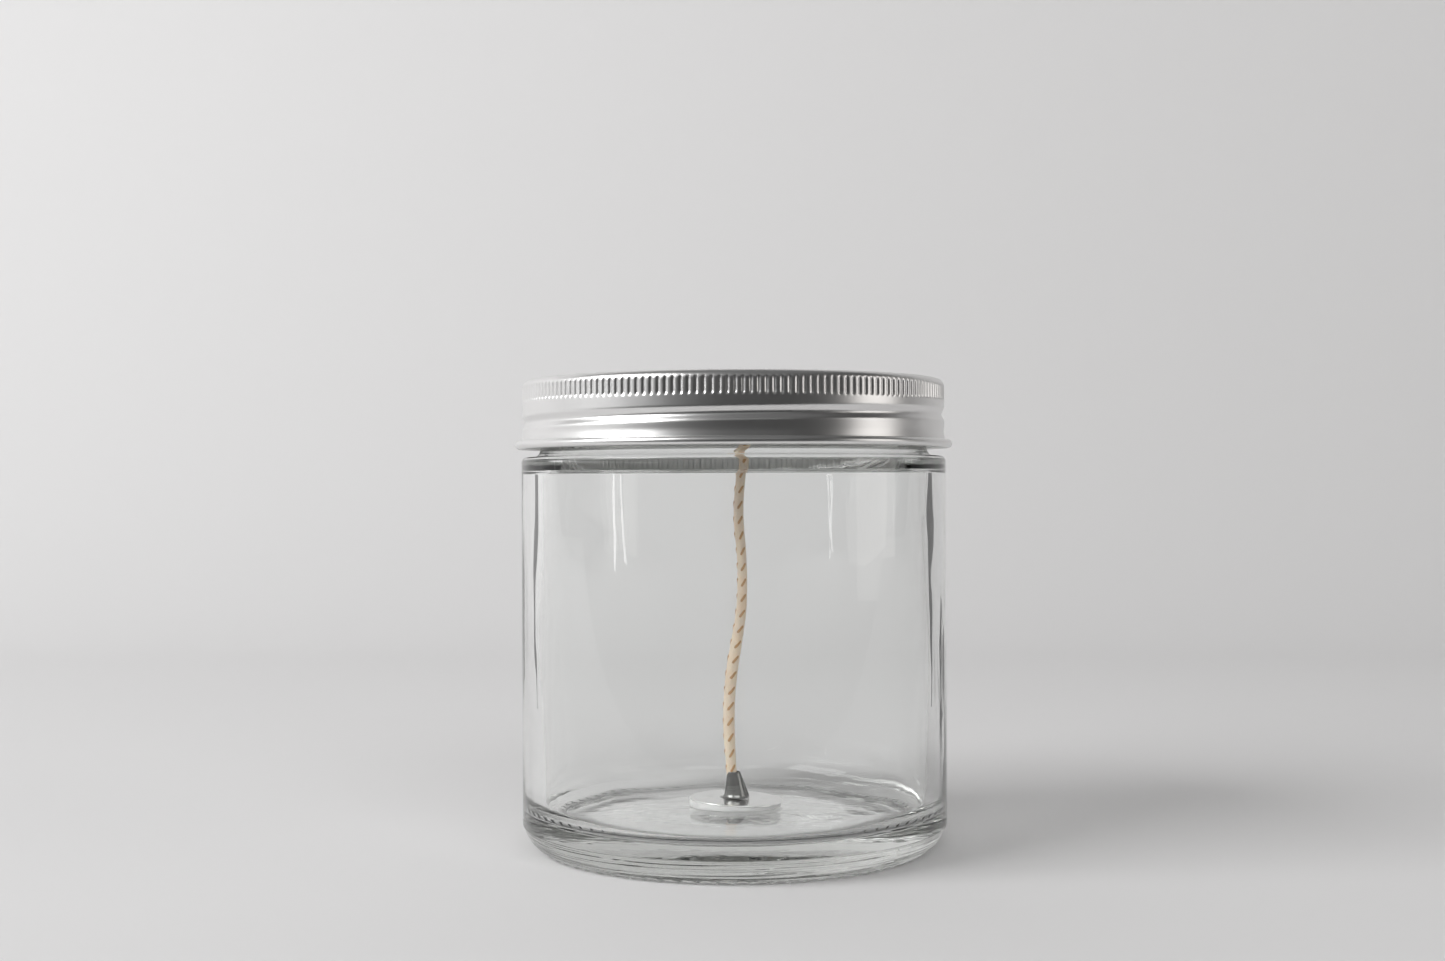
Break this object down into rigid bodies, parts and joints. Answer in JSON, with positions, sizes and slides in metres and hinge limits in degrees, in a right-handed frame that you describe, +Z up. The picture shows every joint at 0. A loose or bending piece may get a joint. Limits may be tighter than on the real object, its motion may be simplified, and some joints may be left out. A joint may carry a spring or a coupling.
{
  "type": "candle jar with screw lid",
  "caption": "Empty straight-sided clear glass candle jar with a knurled screw lid and a primed wick standing on a stuck-down metal tab.",
  "frame": {"origin": "centre of the jar's bearing ring, on the surface that it stands on", "axes": "+Z up along the jar's axis, -Y towards the viewer, +X to the right"},
  "size_m": [0.0926, 0.0926, 0.0983],
  "materials": {
    "clear_glass": "clear flint glass, fire-polished",
    "lid_metal": "satin stamped sheet",
    "liner_foam": "closed-cell foam, smooth skin",
    "tab_steel": "bright tinned sheet steel",
    "dot_foam": "white foam adhesive dot",
    "wick_cotton": "wax-primed braided cotton with tan tracer threads"
  },
  "bodies": {
    "jar": {"glass_jar": "clear_glass", "wick_sticker": "dot_foam", "wick_sustainer": "tab_steel", "wick": "wick_cotton"},
    "liner": {"lid_liner": "liner_foam"},
    "lid": {"lid": "lid_metal"}
  },
  "joints": [
    {"name": "lid_lift", "type": "slide", "parent": "jar", "child": "liner", "axis": [0, 0, 1], "range_m": [0, 0.0229]},
    {"name": "lid_turn", "type": "hinge", "parent": "liner", "child": "lid", "pos_m": [0, 0, 0.0898], "axis": [0, 0, 1], "range_deg": [0, 2160]}
  ],
  "couplings": [
    {"joint": "lid_lift", "follows": "lid_turn", "m_per_rad": 0.00060479}
  ]
}
